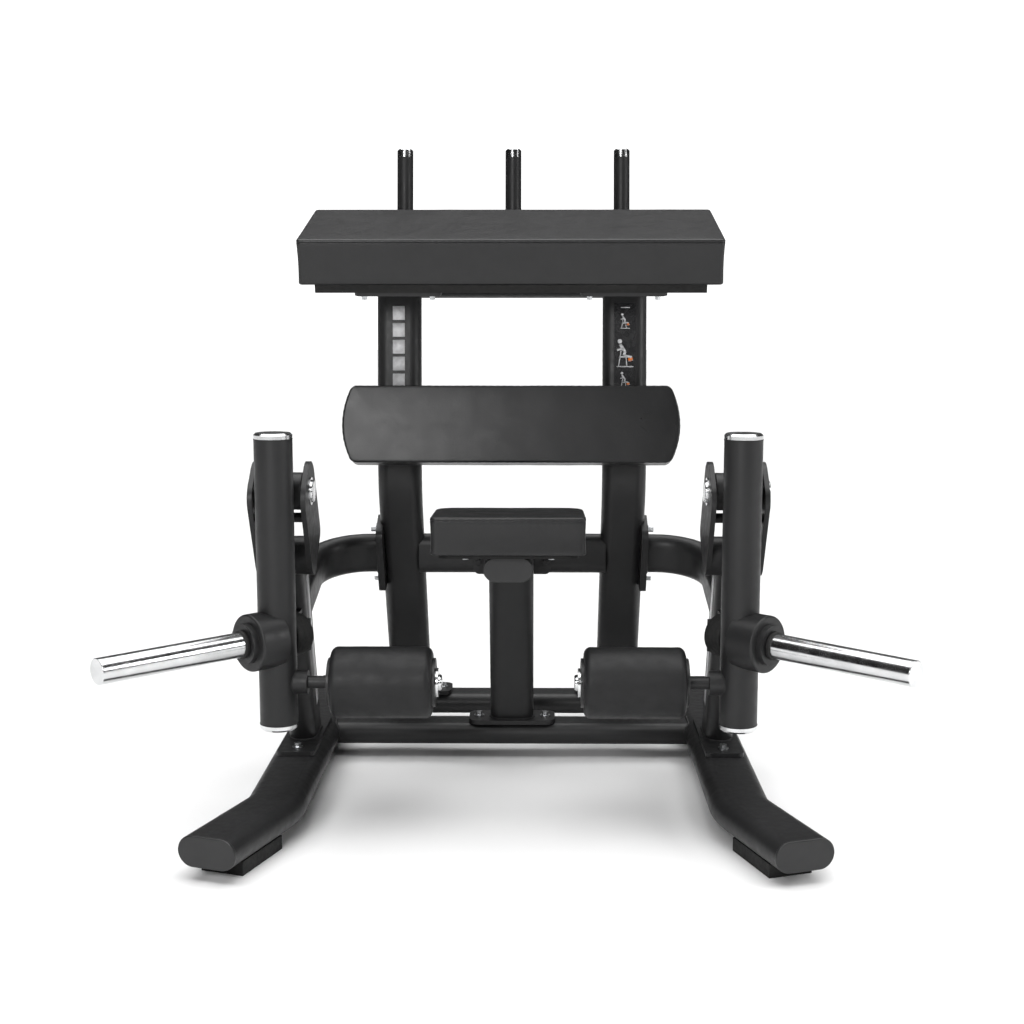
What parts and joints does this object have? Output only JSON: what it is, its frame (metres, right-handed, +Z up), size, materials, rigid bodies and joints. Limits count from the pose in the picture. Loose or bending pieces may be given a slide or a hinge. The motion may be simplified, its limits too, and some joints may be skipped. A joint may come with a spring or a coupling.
{
  "type": "plate-loaded leg curl machine",
  "caption": "Plate-loaded kneeling leg curl machine with independent roller arms, angled weight horns, knee, hip and forearm pads and upright handles.",
  "frame": {"origin": "on the floor at the middle of the footprint", "axes": "+X to the user's right, +Y the way the user faces over the pads, +Z up"},
  "size_m": [1.5142, 1.2217, 1.4123],
  "materials": {
    "frame_paint": "fine-textured satin black powder coat",
    "chrome": "polished chrome plate",
    "zinc_steel": "bright zinc plate",
    "pad_vinyl": "matte black vinyl with a very fine grain",
    "roller_foam": "smooth matte black foam skin",
    "black_plastic": "satin moulded plastic",
    "black_rubber": "matte moulded rubber",
    "pad_board": "black laminated pad board",
    "plate_label": "satin printed plate"
  },
  "bodies": {
    "frame": {"arch_flanges": "frame_paint", "arm_bumpers": "black_rubber", "bracket_spacers": "frame_paint", "bumper_brackets": "frame_paint", "forearm_pad": "pad_vinyl", "forearm_pad_plates": "frame_paint", "frame_bolts": "zinc_steel", "front_cross_tube": "frame_paint", "handle_bar": "frame_paint", "handle_bar_arms": "frame_paint", "handle_caps": "chrome", "handle_posts": "frame_paint", "hip_pad": "pad_vinyl", "hip_pad_brackets": "frame_paint", "instruction_plate": "plate_label", "knee_pad": "pad_vinyl", "knee_post": "frame_paint", "knee_post_foot": "frame_paint", "knee_support_flange": "frame_paint", "knee_support_tube": "frame_paint", "left_arch_tube": "frame_paint", "left_base_rail": "frame_paint", "left_pivot_plates": "frame_paint", "left_side_post": "frame_paint", "left_upright": "frame_paint", "mid_cross_tube": "frame_paint", "pad_boards": "pad_board", "pad_bolts": "zinc_steel", "pivot_shaft_caps": "chrome", "pivot_shafts": "zinc_steel", "post_bases": "frame_paint", "rail_feet": "black_rubber", "rear_cross_tube": "frame_paint", "right_arch_tube": "frame_paint", "right_base_rail": "frame_paint", "right_pivot_plates": "frame_paint", "right_side_post": "frame_paint", "right_upright": "frame_paint", "tube_end_caps": "black_plastic", "upright_feet": "frame_paint"},
    "left_arm": {"left_arm_bosses": "frame_paint", "left_arm_caps": "chrome", "left_arm_tube": "frame_paint", "left_axle_retainer": "chrome", "left_pivot_bearings": "zinc_steel", "left_pivot_housing": "frame_paint", "left_roller_axle": "frame_paint", "left_weight_horn": "chrome"},
    "right_arm": {"right_arm_bosses": "frame_paint", "right_arm_caps": "chrome", "right_arm_tube": "frame_paint", "right_axle_retainer": "chrome", "right_pivot_bearings": "zinc_steel", "right_pivot_housing": "frame_paint", "right_roller_axle": "frame_paint", "right_weight_horn": "chrome"},
    "left_roller": {"left_roller_core": "black_plastic", "left_roller_foam": "roller_foam"},
    "right_roller": {"right_roller_core": "black_plastic", "right_roller_foam": "roller_foam"}
  },
  "joints": [
    {"name": "left_arm_swing", "type": "hinge", "parent": "frame", "child": "left_arm", "pos_m": [0, -0.193, 0.672], "axis": [-1, 0, 0], "range_deg": [0, 105]},
    {"name": "left_roller_spin", "type": "hinge", "parent": "left_arm", "child": "left_roller", "pos_m": [-0.252, -0.281, 0.298], "axis": [1, 0, 0], "continuous": true},
    {"name": "right_arm_swing", "type": "hinge", "parent": "frame", "child": "right_arm", "pos_m": [0, -0.193, 0.672], "axis": [-1, 0, 0], "range_deg": [0, 105]},
    {"name": "right_roller_spin", "type": "hinge", "parent": "right_arm", "child": "right_roller", "pos_m": [0.252, -0.281, 0.298], "axis": [1, 0, 0], "continuous": true}
  ]
}
